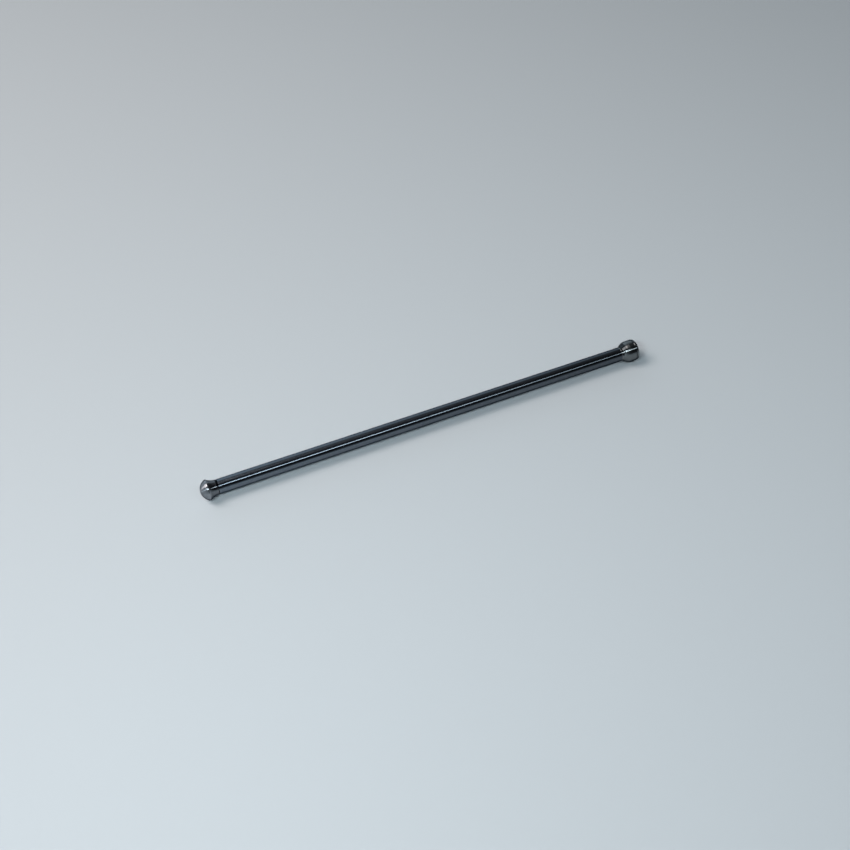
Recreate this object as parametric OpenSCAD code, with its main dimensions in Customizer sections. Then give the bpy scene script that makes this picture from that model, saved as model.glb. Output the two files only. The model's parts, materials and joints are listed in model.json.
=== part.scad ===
// Engine pushrod: a steel tube with a turned ball end and a turned cup end pressed into it.
// The rod lies along X with its cup towards +X, and the cup rests on the plane z = 0.

/* [Rod] */
// Length over all, from the crown of the ball end to the rim of the cup
rod_length = 322; // [180:1:420]
// Outside diameter of the tube
tube_d = 10; // [8:0.1:12]
// Wall thickness of the tube
tube_wall = 2; // [1.2:0.1:2.6]
// Edge break on the outer corners of the tube and on the cup's seat
seam_break = 0.15; // [0.1:0.05:0.4]

/* [Ball end] */
// How far the head stands out past the tube
head_overhang = 2.1; // [1.4:0.1:3]
// Height of the domed crown, from its top to its edge
crown_height = 5; // [3.5:0.1:6]
// Rounding of the edge between the crown and the neck
head_edge_r = 0.45; // [0.2:0.05:0.8]
// Radius of the hollow neck behind the head
head_neck_r = 9; // [4:0.5:14]
// Chamfer at the head's seat, which leaves an open ring where the head meets the tube
head_seat_chamfer = 0.4; // [0.1:0.05:0.6]

/* [Cup end] */
// Radius of the ball that the socket takes
socket_r = 5.5; // [4:0.1:6]
// Wall of the cup around the ball
cup_wall = 2.25; // [1.6:0.05:3]
// Straight mouth of the socket, from the ball's centre to the rim
mouth_depth = 3; // [2:0.1:5]
// Chamfer around the inside of the mouth
mouth_chamfer = 0.6; // [0.2:0.1:1]
// Plain round land behind the rim, from the shoulder's centre to the rim taper
cup_land = 3.1; // [1.5:0.1:6]
// Length of the taper on the rim
rim_length = 1.9; // [1:0.1:3]
// How much the taper narrows the rim, on the radius
rim_drop = 0.35; // [0.1:0.05:0.8]
// Width of the turned vee line between the land and the rim taper
vee_width = 0.7; // [0.3:0.1:1]
// Depth of that vee line
vee_depth = 0.25; // [0.1:0.05:0.4]
// Radius of the tight hollow between the cup's round shoulder and the tube
cup_neck_r = 2.5; // [1:0.1:5]

/* [Fit] */
// Length of the spigots that go into the tube
spigot_length = 12; // [6:0.5:20]
// Gap on the radius between a spigot and the bore of the tube
spigot_gap = 0.01; // [0:0.005:0.05]
// Lead-in chamfer on the end of a spigot and in the mouth of the tube's bore
lead_in = 0.6; // [0.2:0.1:1]
// Narrow plain band between a neck and the edge break at its seat
seat_band = 0.2; // [0.1:0.1:2]

/* [Hidden] */
$fn = 120;
arc_steps = 28;
bright_steel = [0.42, 0.43, 0.45];
dark_steel = [0.24, 0.25, 0.27];

tube_r = tube_d / 2;
bore_r = tube_r - tube_wall;
spigot_r = bore_r - spigot_gap;

// Ball end, measured from the top of the crown. The crown, the edge and the neck are three
// arcs, and each runs into the next without a corner.
head_r = tube_r + head_overhang;
crown_r = (head_r * head_r + crown_height * crown_height) / (2 * crown_height);
edge_along = crown_r - sqrt(pow(crown_r - head_edge_r, 2) - pow(head_r - head_edge_r, 2));
edge_up = head_r - head_edge_r;
head_neck_up = tube_r + head_neck_r;
head_neck_along = edge_along
    + sqrt(pow(head_neck_r + head_edge_r, 2) - pow(head_neck_up - edge_up, 2));
crown_turn = atan2(edge_up, crown_r - edge_along);
head_neck_turn = atan2(head_neck_along - edge_along, head_neck_up - edge_up);
ball_seat = head_neck_along + seat_band + head_seat_chamfer;

// Cup end, measured from the rim back towards the tube. The shoulder is part of a sphere
// as wide as the cup, and the neck is an arc that touches both the shoulder and the tube.
cup_r = socket_r + cup_wall;
shoulder_along = rim_length + cup_land;
cup_neck_up = tube_r + cup_neck_r;
cup_neck_along = shoulder_along + sqrt(pow(cup_r + cup_neck_r, 2) - pow(cup_neck_up, 2));
cup_neck_turn = atan2(cup_neck_along - shoulder_along, cup_neck_up);
cup_seat = cup_neck_along + seat_band + seam_break;

axis_height = max(cup_r, head_r);

// Points along an arc about [along, up]: a turn of 0 is straight up, and 90 is towards +along
function arc(along, up, radius, from, to) =
    [for (i = [0 : arc_steps]) let (turn = from + (to - from) * i / arc_steps)
        [along + radius * sin(turn), up + radius * cos(turn)]];

// Turns an outline of [along, up] points about the rod's axis and sets its start at X = x
module turned(x, outline) {
    translate([x, 0, axis_height]) rotate([0, 90, 0])
        rotate_extrude() polygon([for (p = outline) [p[1], p[0]]]);
}

// The spigot's outline behind a seat, with its lead-in, back to the axis
function spigot(seat) = [
    [seat, spigot_r],
    [seat + spigot_length - lead_in, spigot_r],
    [seat + spigot_length, spigot_r - lead_in],
    [seat + spigot_length, 0]];

// Plain tube, cut square, with its outer corners broken and a lead-in in each end of the bore
module tube() {
    length = rod_length - ball_seat - cup_seat;
    color(dark_steel) turned(ball_seat - rod_length / 2, [
        [0, bore_r + lead_in],
        [0, tube_r - seam_break],
        [seam_break, tube_r],
        [length - seam_break, tube_r],
        [length, tube_r - seam_break],
        [length, bore_r + lead_in],
        [length - lead_in, bore_r],
        [lead_in, bore_r]]);
}

// Domed head with a hollow neck, a shoulder that seats on the tube, and a spigot
module ball_end() {
    color(bright_steel) turned(-rod_length / 2, concat(
        arc(crown_r, 0, crown_r, -90, crown_turn - 90),
        arc(edge_along, edge_up, head_edge_r, crown_turn - 90, head_neck_turn),
        arc(head_neck_along, head_neck_up, head_neck_r, 180 + head_neck_turn, 180),
        [[ball_seat - head_seat_chamfer, tube_r], [ball_seat, tube_r - head_seat_chamfer]],
        spigot(ball_seat)));
}

// Cup with a round back, a tapered rim and a spherical socket, on a seat and a spigot
module cup_end() {
    socket_x = rod_length / 2 - mouth_depth;
    color(bright_steel) difference() {
        mirror([1, 0, 0]) turned(-rod_length / 2, concat(
            [[0, 0], [0, cup_r - rim_drop]],
            [[rim_length - vee_width / 2, cup_r],
             [rim_length, cup_r - vee_depth],
             [rim_length + vee_width / 2, cup_r]],
            arc(shoulder_along, 0, cup_r, 0, cup_neck_turn),
            arc(cup_neck_along, cup_neck_up, cup_neck_r, 180 + cup_neck_turn, 180),
            [[cup_seat - seam_break, tube_r], [cup_seat, tube_r - seam_break]],
            spigot(cup_seat)));
        translate([socket_x, 0, axis_height]) sphere(socket_r);
        translate([socket_x, 0, axis_height]) rotate([0, 90, 0])
            cylinder(h = mouth_depth + 1, r = socket_r);
        translate([rod_length / 2 - mouth_chamfer, 0, axis_height]) rotate([0, 90, 0])
            cylinder(h = 2 * mouth_chamfer, r1 = socket_r, r2 = socket_r + 2 * mouth_chamfer);
    }
}

tube();
ball_end();
cup_end();
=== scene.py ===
import json
import math

import bpy
import numpy as np
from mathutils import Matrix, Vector


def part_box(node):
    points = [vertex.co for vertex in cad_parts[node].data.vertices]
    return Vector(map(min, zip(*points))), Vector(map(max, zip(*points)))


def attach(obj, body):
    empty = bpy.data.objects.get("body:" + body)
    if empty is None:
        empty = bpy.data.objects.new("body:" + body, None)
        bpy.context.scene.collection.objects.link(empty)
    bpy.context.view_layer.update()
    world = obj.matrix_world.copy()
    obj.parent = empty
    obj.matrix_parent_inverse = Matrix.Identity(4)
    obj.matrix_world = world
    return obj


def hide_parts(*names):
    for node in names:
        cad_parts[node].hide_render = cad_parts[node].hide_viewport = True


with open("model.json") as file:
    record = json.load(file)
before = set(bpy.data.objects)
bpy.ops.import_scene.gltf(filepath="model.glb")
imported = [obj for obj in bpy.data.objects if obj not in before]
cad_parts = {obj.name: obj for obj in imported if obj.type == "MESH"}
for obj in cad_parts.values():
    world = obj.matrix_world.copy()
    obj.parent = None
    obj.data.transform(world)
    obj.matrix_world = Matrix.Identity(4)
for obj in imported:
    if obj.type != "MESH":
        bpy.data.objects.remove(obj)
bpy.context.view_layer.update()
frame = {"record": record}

# Sizes of the turned pieces, in metres
MM = 0.001
tube_r = 5 * MM
tube_wall = 2 * MM
seam_break = 0.15 * MM
lead_in = 0.6 * MM
spigot_gap = 0.01 * MM
head_overhang = 2.1 * MM
crown_height = 5 * MM
head_edge_r = 0.45 * MM
head_neck_r = 9 * MM
head_seat_chamfer = 0.4 * MM
cup_wall = 2.25 * MM
mouth_depth = 3 * MM
mouth_chamfer = 0.6 * MM
cup_land = 3.1 * MM
rim_length = 1.9 * MM
rim_drop = 0.35 * MM
vee_width = 0.7 * MM
vee_depth = 0.25 * MM
cup_neck_r = 2.5 * MM
fine_edge_r = 0.12 * MM

# Places and sizes that the frame gives
ball_lo, ball_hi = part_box("ball_end")
cup_lo, cup_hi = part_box("cup_end")
tube_lo, tube_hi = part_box("tube")
socket = next(m for m in frame["record"]["mounts"] if m["name"] == "cup_socket")
socket_r = socket["dims"]["r_mm"] * MM
axis_height = socket["pos_m"][2]

# Sizes worked out from both
bore_r = tube_r - tube_wall
spigot_r = bore_r - spigot_gap
head_r = tube_r + head_overhang
cup_r = socket_r + cup_wall
land_start = rim_length + cup_land
ball_seat = tube_lo.x - ball_lo.x
cup_seat = cup_hi.x - tube_hi.x
shank_length = tube_hi.x - tube_lo.x

# Mesh steps. An eased corner takes up less than half of each run beside it, and a short flat there keeps
# the run's shading straight. A point that is lower than on_axis counts as on the rod's axis.
turn_steps = 256
ball_steps = 40
head_edge_steps = 14
head_neck_steps = 30
cup_neck_steps = 20
eased_steps = 6
eased_share = 0.45
eased_flat = 0.04 * MM
on_axis = 1e-9

# Where the steel is painted darker. The seam behind the head is a dark joint, painted on its upper side
# only, where it stands for shade as well; the back of the cup has painted shade on its upper side, and the
# vee line painted shade all round. The neck of the head has painted shade that makes it darker than its
# crown, and the shank has painted shade that darkens it evenly towards the cup.
seam_half = 0.42 * MM
seam_blur = 0.1 * MM
seam_top, seam_spread, seam_fade = np.radians([98, 26, 18])
head_neck_painted_shade = 0.47
head_neck_fade = 1.5 * MM
shank_painted_shade = 0.5
cup_back_painted_shade = 0.8
cup_back_start, cup_back_end = land_start + 3.7 * MM, land_start + 6.5 * MM
cup_back_blur = 0.6 * MM
cup_back_turns = np.radians([60, 112])
cup_back_fade = math.radians(10)
vee_painted_shade = 0.7
vee_blur = 0.05 * MM

# Where the steel is coarser: the crown of the head and the shoulder of the cup
crown_blur = 0.4 * MM
shoulder_start, shoulder_end = land_start + 1 * MM, land_start + 4.5 * MM
shoulder_blur = 1 * MM

# Finish of each steel. The grazing tint darkens metal that is seen at a grazing angle.
# Painted shade, with the dark of the head's joint, that the dark value blends over the steel's colour
joint_dark_and_painted_shade = (0.009, 0.012, 0.015, 1)
grazing_tint = (0.14, 0.14, 0.15, 1)
shank_finish = dict(dark=(0.094, 0.115, 0.143, 1), light=(0.165, 0.2, 0.245, 1),
                    bare=(0.4, 0.4, 0.4, 1), roughness=(0.14, 0.165), coarse_by=0.0, rings=6.0, wear=0.4)
head_finish = dict(dark=(0.222, 0.236, 0.257, 1), light=(0.354, 0.373, 0.404, 1),
                   bare=(0.5, 0.5, 0.51, 1), roughness=(0.14, 0.165), coarse_by=0.165, rings=5.0, wear=0.4)
cup_finish = dict(dark=(0.12, 0.13, 0.136, 1), light=(0.217, 0.23, 0.233, 1),
                  bare=(0.5, 0.5, 0.5, 1), roughness=(0.14, 0.17), coarse_by=0.08, rings=5.0, wear=0.5)
mottle_share = 0.6
mark_height = 0.02 * MM
mark_strength = 0.03

# Camera: level, looking down across the rod, with the cup end farther away
photo_size = 850
focal_px = 1075
sensor_width = 36
middle = Vector(((ball_lo.x + cup_hi.x) / 2, 0, axis_height))
camera_at = middle + Vector((-196, -440.3, 552.1)) * MM
aim_at = middle + Vector((-4.86, -3.36, -2.69)) * MM

# Floor and light
floor_half = 4.0
floor_colour = (0.575, 0.62, 0.65, 1)
room_colour = (0.8, 0.92, 1.0, 1)
room_least = 0.03
warm, cool = (1.0, 0.91, 0.87), (0.85, 0.955, 1.0)
over_camera = (0, -0.55, 0.835)


# Outlines, as points of (along, up): the place along the rod and the height above its axis
def arc(along, up, radius, start, stop, steps):
    """Arc about (along, up): at a turn of 0 the point is straight up, at 90 degrees towards +along."""
    turn = np.radians(np.linspace(start, stop, steps + 1))
    return np.stack([along + radius * np.sin(turn), up + radius * np.cos(turn)], axis=1)


def eased(points):
    """Straight runs through the points, with each inner corner replaced by a curve that touches both
    runs, as a stone leaves an edge: a parabola whose middle control point is the corner. A short flat
    at each end of a run keeps its shading straight."""
    points = np.asarray(points, float)
    t = np.linspace(0, 1, eased_steps + 1)[:, None]
    rows = [points[:1]]
    for before, corner, after in zip(points, points[1:], points[2:]):
        back_run, ahead_run = np.linalg.norm(before - corner), np.linalg.norm(after - corner)
        back, ahead = (before - corner) / back_run, (after - corner) / ahead_run
        half = math.acos(np.clip(back @ ahead, -1, 1)) / 2
        reach = min(fine_edge_r / math.tan(half), eased_share * back_run, eased_share * ahead_run)
        flat = min(eased_flat, reach)
        start, end = corner + back * reach, corner + ahead * reach
        curve = (1 - t) ** 2 * start + 2 * t * (1 - t) * corner + t ** 2 * end
        rows += [start + back * flat, curve, end + ahead * flat]
    rows.append(points[-1:])
    return np.vstack([np.atleast_2d(r) for r in rows])


def spigot(seat, end):
    """The plug behind a seat: a corner on the seat, a plain round run, a lead-in and a flat end."""
    return [[seat, spigot_r], [end - lead_in, spigot_r], [end, spigot_r - lead_in], [end, 0]]


def ball_end_outline():
    """Crown, rounded edge and hollow neck, three arcs that touch, then the seat and its spigot."""
    crown_r = (head_r ** 2 + crown_height ** 2) / (2 * crown_height)
    edge_up = head_r - head_edge_r
    edge_along = crown_r - math.sqrt((crown_r - head_edge_r) ** 2 - edge_up ** 2)
    neck_up = tube_r + head_neck_r
    neck_along = edge_along + math.sqrt((head_neck_r + head_edge_r) ** 2 - (neck_up - edge_up) ** 2)
    crown_turn = math.degrees(math.atan2(edge_up, crown_r - edge_along))
    neck_turn = math.degrees(math.atan2(neck_along - edge_along, neck_up - edge_up))
    crown = arc(crown_r, 0, crown_r, -90, crown_turn - 90, ball_steps)
    edge = arc(edge_along, edge_up, head_edge_r, crown_turn - 90, neck_turn, head_edge_steps)
    neck = arc(neck_along, neck_up, head_neck_r, 180 + neck_turn, 180, head_neck_steps)
    back = eased([[neck_along, tube_r], [ball_seat - head_seat_chamfer, tube_r],
                  [ball_seat, tube_r - head_seat_chamfer]] + spigot(ball_seat, ball_hi.x - ball_lo.x))
    return np.vstack([crown, edge[1:], neck[1:], back[1:]])


def cup_end_outline():
    """From the socket's floor out over the mouth and the tapered rim, through a turned vee, back along
    the land, round the shoulder, which is part of a sphere, and through the tight neck to the seat."""
    neck_up = tube_r + cup_neck_r
    neck_along = land_start + math.sqrt((cup_r + cup_neck_r) ** 2 - neck_up ** 2)
    neck_turn = math.degrees(math.atan2(neck_along - land_start, neck_up))
    floor = arc(mouth_depth, 0, socket_r, 90, 0, ball_steps)
    rim = eased([[mouth_depth, socket_r], [mouth_chamfer, socket_r], [0, socket_r + mouth_chamfer],
                 [0, cup_r - rim_drop], [rim_length - vee_width / 2, cup_r],
                 [rim_length, cup_r - vee_depth], [rim_length + vee_width / 2, cup_r],
                 [land_start, cup_r]])
    shoulder = arc(land_start, 0, cup_r, 0, neck_turn, ball_steps)
    neck = arc(neck_along, neck_up, cup_neck_r, 180 + neck_turn, 180, cup_neck_steps)
    back = eased([[neck_along, tube_r], [cup_seat - seam_break, tube_r], [cup_seat, tube_r - seam_break]]
                 + spigot(cup_seat, cup_hi.x - cup_lo.x))
    return np.vstack([floor, rim[1:], shoulder[1:], neck[1:], back[1:]])


def tube_outline():
    """The wall of the tube, all the way round from a point on its end face, just outside the lead-in:
    outside, end, bore and end, with its corners broken. Two rings on the outside mark where the dark of
    the seam starts to fade and where it ends."""
    just_past_lead_in = bore_r + 1.2 * lead_in
    start = [[0, just_past_lead_in]]
    outside = [[0, tube_r - seam_break], [seam_break, tube_r], [shank_length - seam_break, tube_r],
               [shank_length, tube_r - seam_break]]
    inside = [[shank_length, bore_r + lead_in], [shank_length - lead_in, bore_r], [lead_in, bore_r],
              [0, bore_r + lead_in]]
    wall = eased(start + outside + inside + start)
    long_run = int(np.argmax(np.diff(wall[:, 0])))
    seam_rings = [[seam_half, tube_r], [seam_half + seam_blur, tube_r]]
    return np.insert(wall, long_run + 1, seam_rings, axis=0)


def length_along(outline):
    """Length of the outline from its start to each of its points."""
    return np.concatenate([[0], np.cumsum(np.linalg.norm(np.diff(outline, axis=0), axis=1))])


def convex_edge(outline, width=0.5 * MM):
    """How much each point of the outline stands on an outer edge: the turn of the outline there, from
    the run before to the run after, over a right angle, and zero in hollows."""
    step = np.diff(outline, axis=0)
    heading = np.unwrap(np.arctan2(step[:, 1], step[:, 0]))
    length = length_along(outline)
    run_middle = (length[1:] + length[:-1]) / 2
    ahead = np.interp(length + width, run_middle, heading)
    behind = np.interp(length - width, run_middle, heading)
    return np.clip((behind - ahead) / (math.pi / 2), 0, 1)


# Values between nought and one on the surface, from the place along a piece and the turn about its axis
def near(value, low, high, blur):
    """One between low and high, falling straight to nought over the blur outside them."""
    return np.interp(value, [low - blur, low, high, high + blur], [0, 1, 1, 0])


def seam_darkness(along, turn, centre):
    """Dark of a joint about one place along a piece, painted on its upper side only, where it stands for
    shade as well: a band along it times a band of turns.
    """
    round_top = near(turn, seam_top - seam_spread, seam_top + seam_spread, seam_fade)
    return near(along, centre - seam_half, centre + seam_half, seam_blur) * round_top


def head_darkness(along, turn):
    """Painted shade on the neck, which comes up behind the crown, or the dark of the joint at the seat
    where it is more.
    """
    neck = head_neck_painted_shade * np.interp(along, [crown_height, crown_height + head_neck_fade], [0, 1])
    return np.maximum(neck, seam_darkness(along, turn, ball_seat - seam_half))


def shank_darkness(along, turn):
    """Painted shade in an even ramp from the head to the cup, or the dark of the joint at the shank's
    start where it is more.
    """
    return np.maximum(shank_painted_shade * along / shank_length, seam_darkness(along, turn, 0))


def cup_darkness(along, turn):
    """Painted shade on the upper side of the cup's back, which dims its highlight there, and painted shade
    all round in the vee line.
    """
    back = near(along, cup_back_start, cup_back_end, cup_back_blur)
    round_top = near(turn, *cup_back_turns, cup_back_fade)
    vee = near(along, rim_length - vee_width / 2, rim_length + vee_width / 2, vee_blur)
    return np.maximum(cup_back_painted_shade * back * round_top, vee_painted_shade * vee)


def coarse_nowhere(along):
    """Nought all along: the shank is equally fine everywhere."""
    return 0 * along


def coarse_crown(along):
    """One on the crown, falling to nought across its edge."""
    return np.interp(along, [crown_height - crown_blur, crown_height + crown_blur], [1, 0])


def coarse_shoulder(along):
    """One on the cup's round shoulder, falling to nought on both sides of it."""
    return near(along, shoulder_start, shoulder_end, shoulder_blur)


# Meshes
def fan(tip, ring, u_tip, u_ring, v_tip, v_ring):
    """Triangles from one point to a ring, and their UV corners: the tip, then two points of the ring."""
    triangles = np.stack([np.full(turn_steps, tip), ring[0], ring[1]], axis=1)
    u_tip, u_ring = np.full(turn_steps, u_tip), np.full(turn_steps, u_ring)
    uv = np.stack([u_tip, v_tip, u_ring, v_ring[0], u_ring, v_ring[1]], axis=1)
    return triangles, uv.reshape(-1, 2)


def signed_volume(points, triangles):
    """Six times the volume inside the triangles, negative where they face inwards: the sum of each
    triangle's triple product."""
    a, b, c = points[triangles[:, 0]], points[triangles[:, 1]], points[triangles[:, 2]]
    return float(np.einsum("ij,ij->i", a, np.cross(b, c)).sum())


def turned(name, outline, start_x, facing, coarse, dark):
    """Surface of two parameters: the turn about the rod's axis and the place along the outline.
    A point is (start + facing * along, up * cos(turn), axis height + up * sin(turn)). An outline that
    starts and ends on the axis is closed there by one point each, and any other is a closed loop. Three
    values lie on the points for the finish: outer edges, coarseness as a function of along, and darkness
    as a function of along and turn."""
    capped = outline[0, 1] < on_axis
    first = 1 if capped else 0
    ring = outline[first:-1]
    rows = len(ring)
    turn = np.arange(turn_steps) * 2 * math.pi / turn_steps
    x = np.repeat((start_x + facing * ring[:, 0])[:, None], turn_steps, axis=1)
    y = ring[:, 1][:, None] * np.cos(turn)
    z = axis_height + ring[:, 1][:, None] * np.sin(turn)
    points = np.stack([x, y, z], axis=2).reshape(-1, 3)

    along, length = outline[:, 0], length_along(outline)
    share = length / length[-1]
    level = np.zeros(turn_steps)
    # The dark value is painted shade, with the dark of the head's joint
    finish = {"edge": convex_edge(outline)[:, None] + level, "coarse": coarse(along)[:, None] + level,
              "dark": dark(along[:, None], turn) + level}

    i = np.arange(rows - 1 if capped else rows)[:, None]
    j = np.arange(turn_steps)[None, :]
    after = (j + 1) % turn_steps
    below, above = i * turn_steps, ((i + 1) % rows) * turn_steps
    quads = np.stack([below + j, below + after, above + after, above + j], axis=2).reshape(-1, 4)
    u0, u1 = share[i + first] + 0 * j, share[i + first + 1] + 0 * j
    v0, v1 = (j + 0 * i) / turn_steps, (j + 1 + 0 * i) / turn_steps
    uv = [np.stack([u0, v0, u0, v1, u1, v1, u1, v0], axis=2).reshape(-1, 2)]
    fans, caps = np.empty((0, 3), int), []
    if capped:
        caps = [0, -1]
        tip, last = len(points), (rows - 1) * turn_steps
        points = np.vstack([points, [[start_x + facing * along[k], 0, axis_height] for k in caps]])
        j, after = j[0], after[0]
        v, v_after, v_tip = j / turn_steps, (j + 1) / turn_steps, (j + 0.5) / turn_steps
        front, front_uv = fan(tip, (after, j), 0, share[1], v_tip, (v_after, v))
        back, back_uv = fan(tip + 1, (last + j, last + after), 1, share[-2], v_tip, (v, v_after))
        fans = np.vstack([front, back])
        uv += [front_uv, back_uv]

    mesh = bpy.data.meshes.new(name)
    mesh.from_pydata(points.tolist(), [], quads.tolist() + fans.tolist())
    layer = mesh.uv_layers.new(name="turning")
    layer.data.foreach_set("uv", np.vstack(uv).astype(np.float32).ravel())
    for label, value in finish.items():
        value = np.concatenate([value[first:first + rows].ravel(), value[caps].mean(axis=1)])
        layer = mesh.attributes.new(label, "FLOAT", "POINT")
        layer.data.foreach_set("value", value.astype(np.float32))
    mesh.polygons.foreach_set("use_smooth", np.ones(len(mesh.polygons), bool))
    mesh.update()
    if signed_volume(points, np.vstack([quads[:, :3], quads[:, [0, 2, 3]], fans])) < 0:
        mesh.flip_normals()
    piece = bpy.data.objects.new(name, mesh)
    bpy.context.scene.collection.objects.link(piece)
    return piece, length[-1]


# Shader helpers
def node(tree, kind, place, **settings):
    """A new node at its place in the node editor."""
    made = tree.nodes.new(kind)
    made.location = place
    for key, value in settings.items():
        setattr(made, key, value)
    return made


def feed(tree, value, given):
    """Links an output to an input, or writes a number or a colour there."""
    if hasattr(value, "is_output"):
        tree.links.new(value, given)
    else:
        given.default_value = value


def maths(tree, operation, a, b, place, clamp=False):
    """A sum, a product or the like of two values, each a socket or a number."""
    made = node(tree, "ShaderNodeMath", place, operation=operation, use_clamp=clamp)
    feed(tree, a, made.inputs[0])
    feed(tree, b, made.inputs[1])
    return made.outputs[0]


def weighed(tree, a, b, share, place):
    """The first value times its share, plus the second times the rest."""
    x, y = place
    return maths(tree, "ADD", maths(tree, "MULTIPLY", a, share, (x - 180, y + 100)),
                 maths(tree, "MULTIPLY", b, 1 - share, (x - 180, y - 100)), place)


def blended(tree, factor, a, b, place):
    """A mix of two colours, each a socket or a written colour."""
    made = node(tree, "ShaderNodeMix", place, data_type="RGBA")
    for name, value in (("Factor", factor), ("A", a), ("B", b)):
        feed(tree, value, next(s for s in made.inputs if s.name == name and s.enabled))
    return next(s for s in made.outputs if s.name == "Result" and s.enabled)


def noise(tree, vector, scale, detail, place, dimensions="3D"):
    """Noise at the vector, with its scale a socket or a number."""
    made = node(tree, "ShaderNodeTexNoise", place, noise_dimensions=dimensions)
    feed(tree, vector, made.inputs["Vector"])
    feed(tree, scale, made.inputs["Scale"])
    feed(tree, detail, made.inputs["Detail"])
    return made


def group(name, inputs, outputs):
    """A new shader node group with its sockets: (name, kind, default) inputs and (name, kind) outputs."""
    tree = bpy.data.node_groups.new(name, "ShaderNodeTree")
    for label, kind, default in inputs:
        tree.interface.new_socket(label, in_out="INPUT", socket_type=kind).default_value = default
    for label, kind in outputs:
        tree.interface.new_socket(label, in_out="OUTPUT", socket_type=kind)
    return tree, node(tree, "NodeGroupInput", (-900, 0)), node(tree, "NodeGroupOutput", (700, 0))


# Effects that the steels share
def grinding_marks():
    """Fine rings left by the grinding wheel: noise that is stretched round the piece, so that it changes
    fast along the outline and slowly with the turn. Puts out a height and a lightness mask."""
    tree, given, put = group(
        "grinding_marks",
        [("Along", "NodeSocketFloat", 0.0), ("Turn", "NodeSocketFloat", 0.0),
         ("Rings per mm", "NodeSocketFloat", 6.0)],
        [("Height", "NodeSocketFloat"), ("Mask", "NodeSocketFloat")])
    marks_per_turn = 2.0
    fine_share = 0.6
    pitch = maths(tree, "MULTIPLY", given.outputs["Along"], given.outputs["Rings per mm"], (-700, 100))
    around = maths(tree, "MULTIPLY", given.outputs["Turn"], marks_per_turn, (-700, -100))
    spot = node(tree, "ShaderNodeCombineXYZ", (-500, 0))
    tree.links.new(pitch, spot.inputs[0])
    tree.links.new(around, spot.inputs[1])
    fine = noise(tree, spot.outputs[0], scale=1.0, detail=3.0, place=(-300, 120), dimensions="2D")
    fine.inputs["Roughness"].default_value = 0.65
    broad = noise(tree, spot.outputs[0], scale=0.12, detail=2.0, place=(-300, -140), dimensions="2D")
    tree.links.new(fine.outputs[0], put.inputs["Height"])
    mask = weighed(tree, fine.outputs[0], broad.outputs[0], fine_share, (200, 0))
    tree.links.new(mask, put.inputs["Mask"])
    return tree


def oxide_mottle():
    """Uneven tone of a dark oxide skin: two sizes of cloud added, the small one weaker."""
    tree, given, put = group(
        "oxide_mottle",
        [("Place", "NodeSocketVector", (0, 0, 0)), ("Size", "NodeSocketFloat", 120.0)],
        [("Mask", "NodeSocketFloat")])
    times_smaller = 7.0
    large_share = 0.65
    spot, size = given.outputs["Place"], given.outputs["Size"]
    small_size = maths(tree, "MULTIPLY", size, times_smaller, (-700, -200))
    large = noise(tree, spot, scale=size, detail=4.0, place=(-450, 120))
    small = noise(tree, spot, scale=small_size, detail=4.0, place=(-450, -160))
    mask = weighed(tree, large.outputs[0], small.outputs[0], large_share, (50, 0))
    tree.links.new(mask, put.inputs["Mask"])
    return tree


def edge_wear():
    """Bright wear on outer edges: the edge value of the surface, broken up by noise."""
    tree, given, put = group(
        "edge_wear",
        [("Place", "NodeSocketVector", (0, 0, 0)), ("Edge", "NodeSocketFloat", 0.0),
         ("Amount", "NodeSocketFloat", 0.5)],
        [("Mask", "NodeSocketFloat")])
    contrast, offset = 1.4, -0.2
    rough = noise(tree, given.outputs["Place"], scale=900.0, detail=3.0, place=(-500, -100))
    broken = maths(tree, "MULTIPLY_ADD", rough.outputs[0], contrast, (-250, -100))
    broken.node.inputs[2].default_value = offset
    worn = maths(tree, "MULTIPLY", given.outputs["Edge"], broken, (0, 0))
    mask = maths(tree, "MULTIPLY", worn, given.outputs["Amount"], (250, 0), clamp=True)
    tree.links.new(mask, put.inputs["Mask"])
    return tree


marks_group, mottle_group, wear_group = grinding_marks(), oxide_mottle(), edge_wear()


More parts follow.
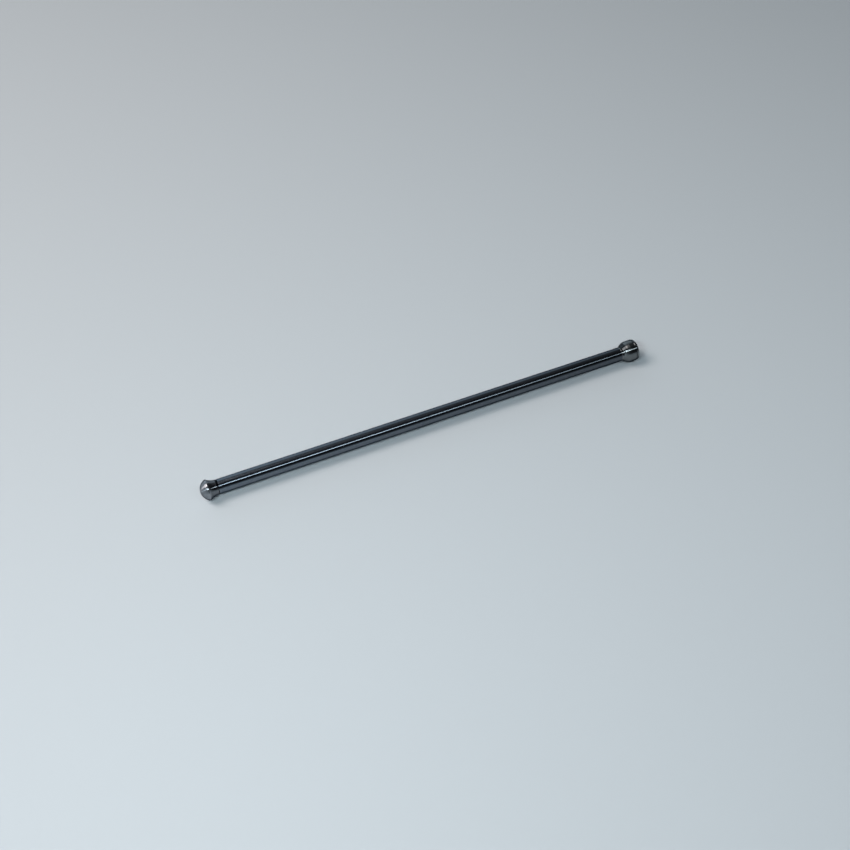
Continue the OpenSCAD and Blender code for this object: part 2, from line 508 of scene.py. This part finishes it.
def ground_steel(name, outline_length, dark, light, bare, roughness, coarse_by, rings, wear):
    """Dark oxidised steel, finished by turning and grinding: its highlights run along the outline,
    across the fine rings, and its tone shifts between dark and light, with bare metal on edges, and
    painted shade with the dark of the head's joint where the surface's dark value says so."""
    material = bpy.data.materials.new(name)
    material.use_nodes = True
    tree = material.node_tree
    shader = tree.nodes["Principled BSDF"]
    shader.inputs["Metallic"].default_value = 1.0
    shader.inputs["Anisotropic"].default_value = 1.0
    shader.inputs["Specular Tint"].default_value = grazing_tint

    uv = node(tree, "ShaderNodeUVMap", (-1300, 300), uv_map="turning")
    parts = node(tree, "ShaderNodeSeparateXYZ", (-1120, 300))
    tree.links.new(uv.outputs[0], parts.inputs[0])
    along_mm = maths(tree, "MULTIPLY", parts.outputs[0], outline_length / MM, (-940, 300))
    spot = node(tree, "ShaderNodeTexCoord", (-1300, -100)).outputs["Object"]
    # The dark value carries painted shade and the dark of the head's joint
    edge, coarse, shade_and_joint_amount = [
        node(tree, "ShaderNodeAttribute", (-1300, high), attribute_name=label).outputs["Fac"]
        for label, high in (("edge", -400), ("coarse", -600), ("dark", -800))]

    marks = node(tree, "ShaderNodeGroup", (-720, 300), node_tree=marks_group)
    tree.links.new(along_mm, marks.inputs["Along"])
    tree.links.new(parts.outputs[1], marks.inputs["Turn"])
    marks.inputs["Rings per mm"].default_value = rings
    mottle = node(tree, "ShaderNodeGroup", (-720, 0), node_tree=mottle_group)
    tree.links.new(spot, mottle.inputs["Place"])
    worn = node(tree, "ShaderNodeGroup", (-720, -300), node_tree=wear_group)
    tree.links.new(spot, worn.inputs["Place"])
    tree.links.new(edge, worn.inputs["Edge"])
    worn.inputs["Amount"].default_value = wear

    tone = weighed(tree, mottle.outputs["Mask"], marks.outputs["Mask"], mottle_share, (-330, 120))
    skin = blended(tree, tone, dark, light, (-150, 120))
    polished = blended(tree, worn.outputs["Mask"], skin, bare, (0, 200))
    # Blends in painted shade, with the dark of the head's joint, where the dark value says so
    tree.links.new(blended(tree, shade_and_joint_amount, polished, joint_dark_and_painted_shade, (160, 60)), shader.inputs["Base Color"])
    spread = node(tree, "ShaderNodeMapRange", (-150, -160))
    spread.inputs["To Min"].default_value, spread.inputs["To Max"].default_value = roughness
    tree.links.new(tone, spread.inputs["Value"])
    added = maths(tree, "MULTIPLY", coarse, coarse_by, (-150, -420))
    tree.links.new(maths(tree, "ADD", spread.outputs[0], added, (60, -120)), shader.inputs["Roughness"])
    bump = node(tree, "ShaderNodeBump", (60, -260))
    bump.inputs["Strength"].default_value = mark_strength
    bump.inputs["Distance"].default_value = mark_height
    tree.links.new(marks.outputs["Height"], bump.inputs["Height"])
    tree.links.new(bump.outputs[0], shader.inputs["Normal"])
    grain = node(tree, "ShaderNodeTangent", (60, -460), direction_type="UV_MAP", uv_map="turning")
    tree.links.new(grain.outputs[0], shader.inputs["Tangent"])
    return material


def dress(name, outline, start_x, facing, coarse, dark, cad_node, finish):
    """Turns one piece, gives it its steel and sets it in the place of its solid."""
    piece, length = turned(name, outline, start_x, facing, coarse, dark)
    piece.data.materials.append(ground_steel(name + "_steel", length, **finish))
    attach(piece, "root")
    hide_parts(cad_node)


# Floor, room and lamps
def pale_floor():
    """Plain pale surface that touches the head and the cup, which differ a little in width: a plane that
    falls evenly from the head to the cup."""
    slope = (cup_r - head_r) / (cup_hi.x - ball_lo.x)
    height = [-slope * (x - cup_hi.x + rim_length) for x in (-floor_half, floor_half)]
    corners = [(-floor_half, -floor_half, height[0]), (floor_half, -floor_half, height[1]),
               (floor_half, floor_half, height[1]), (-floor_half, floor_half, height[0])]
    mesh = bpy.data.meshes.new("floor")
    mesh.from_pydata(corners, [], [(0, 1, 2, 3)])
    floor = bpy.data.objects.new("floor", mesh)
    bpy.context.scene.collection.objects.link(floor)
    material = bpy.data.materials.new("pale_board")
    material.use_nodes = True
    shader = material.node_tree.nodes["Principled BSDF"]
    shader.inputs["Base Color"].default_value = floor_colour
    shader.inputs["Roughness"].default_value = 0.6
    shader.inputs["Specular IOR Level"].default_value = 0.2
    mesh.materials.append(material)


def dim_room():
    """Room light, a sum of glows over an even dim level: a wide and a low glow behind the rod, which end
    to the right, one to its left, a band above the floor, and a faint one overhead, which ends to the
    right too."""
    world = bpy.data.worlds.new("dim_room")
    bpy.context.scene.world = world
    world.use_nodes = True
    tree = world.node_tree
    tree.nodes.clear()
    out = node(tree, "ShaderNodeOutputWorld", (800, 0))
    background = node(tree, "ShaderNodeBackground", (600, 0))
    background.inputs["Color"].default_value = room_colour
    tree.links.new(background.outputs[0], out.inputs[0])
    way = node(tree, "ShaderNodeTexCoord", (-900, 0)).outputs["Generated"]
    parts = node(tree, "ShaderNodeSeparateXYZ", (-700, 0))
    tree.links.new(way, parts.inputs[0])

    def glow(axis, dim_at, pale_at, strength, high):
        """A smooth ramp along one axis of the direction, from nought to its strength."""
        ramp = node(tree, "ShaderNodeMapRange", (-480, high), interpolation_type="SMOOTHSTEP")
        ramp.inputs["From Min"].default_value = dim_at
        ramp.inputs["From Max"].default_value = pale_at
        ramp.inputs["To Max"].default_value = strength
        tree.links.new(parts.outputs[axis], ramp.inputs["Value"])
        return ramp.outputs[0]

    wide = glow("Y", dim_at=-0.3, pale_at=1.3, strength=0.11, high=500)
    low = glow("Y", dim_at=0.45, pale_at=0.95, strength=0.7, high=300)
    behind_ends = glow("X", dim_at=0.9, pale_at=0.5, strength=1.0, high=100)
    left = glow("X", dim_at=-0.3, pale_at=-0.9, strength=0.35, high=-100)
    above_floor = glow("Z", dim_at=0.3, pale_at=0.1, strength=0.43, high=-300)
    overhead = glow("Z", dim_at=0.6, pale_at=0.9, strength=0.06, high=-500)
    overhead_ends = glow("X", dim_at=0.4, pale_at=0.0, strength=1.0, high=-700)

    behind = maths(tree, "MULTIPLY", maths(tree, "ADD", wide, low, (-240, 400)), behind_ends, (-60, 300))
    above = maths(tree, "MULTIPLY", overhead, overhead_ends, (-240, -600))
    total = room_least
    for k, part in enumerate((left, behind, above_floor, above)):
        total = maths(tree, "ADD", part, total, (-60 + 160 * k, 0))
    tree.links.new(total, background.inputs["Strength"])


def lamp(name, direction, distance, size, watts, tint, aim_x=0.0):
    """Rectangular soft lamp that faces the rod's axis, aim_x along from its middle."""
    data = bpy.data.lights.new(name, "AREA")
    data.shape = "RECTANGLE"
    data.size, data.size_y = size
    data.energy = watts
    data.color = tint
    made = bpy.data.objects.new(name, data)
    bpy.context.scene.collection.objects.link(made)
    back = Vector(direction).normalized()
    made.location = middle + Vector((aim_x, 0, 0)) + back * distance
    made.rotation_euler = back.to_track_quat("Z", "Y").to_euler()


dress("shank_tube", tube_outline(), start_x=tube_lo.x, facing=1, coarse=coarse_nowhere,
      dark=shank_darkness, cad_node="tube", finish=shank_finish)
dress("domed_ball_end", ball_end_outline(), start_x=ball_lo.x, facing=1, coarse=coarse_crown,
      dark=head_darkness, cad_node="ball_end", finish=head_finish)
dress("rocker_cup_end", cup_end_outline(), start_x=cup_hi.x, facing=-1, coarse=coarse_shoulder,
      dark=cup_darkness, cad_node="cup_end", finish=cup_finish)

camera = bpy.data.objects.new("camera", bpy.data.cameras.new("camera"))
bpy.context.scene.collection.objects.link(camera)
camera.data.sensor_width = sensor_width
camera.data.lens = focal_px * sensor_width / photo_size
camera.data.clip_start = 0.01
camera.location = camera_at
camera.rotation_euler = (aim_at - camera_at).to_track_quat("-Z", "Y").to_euler()
bpy.context.scene.camera = camera

pale_floor()
dim_room()
lamp("key_softbox", direction=(-0.55, 0.28, 0.79), distance=1.8, size=(0.9, 0.9), watts=19.5, tint=warm)
lamp("lamp_left_of_camera", direction=(-0.5, -0.43, 0.75), distance=0.8, size=(0.22, 0.12), watts=2.05,
     tint=cool)
lamp("strip_over_camera", direction=over_camera, distance=0.93, size=(0.55, 0.08), watts=1.0, tint=cool,
     aim_x=0.075)
lamp("strip_to_the_right", direction=over_camera, distance=0.93, size=(0.85, 0.08), watts=0.8, tint=cool,
     aim_x=0.775)
bpy.context.scene.view_settings.view_transform = "Standard"
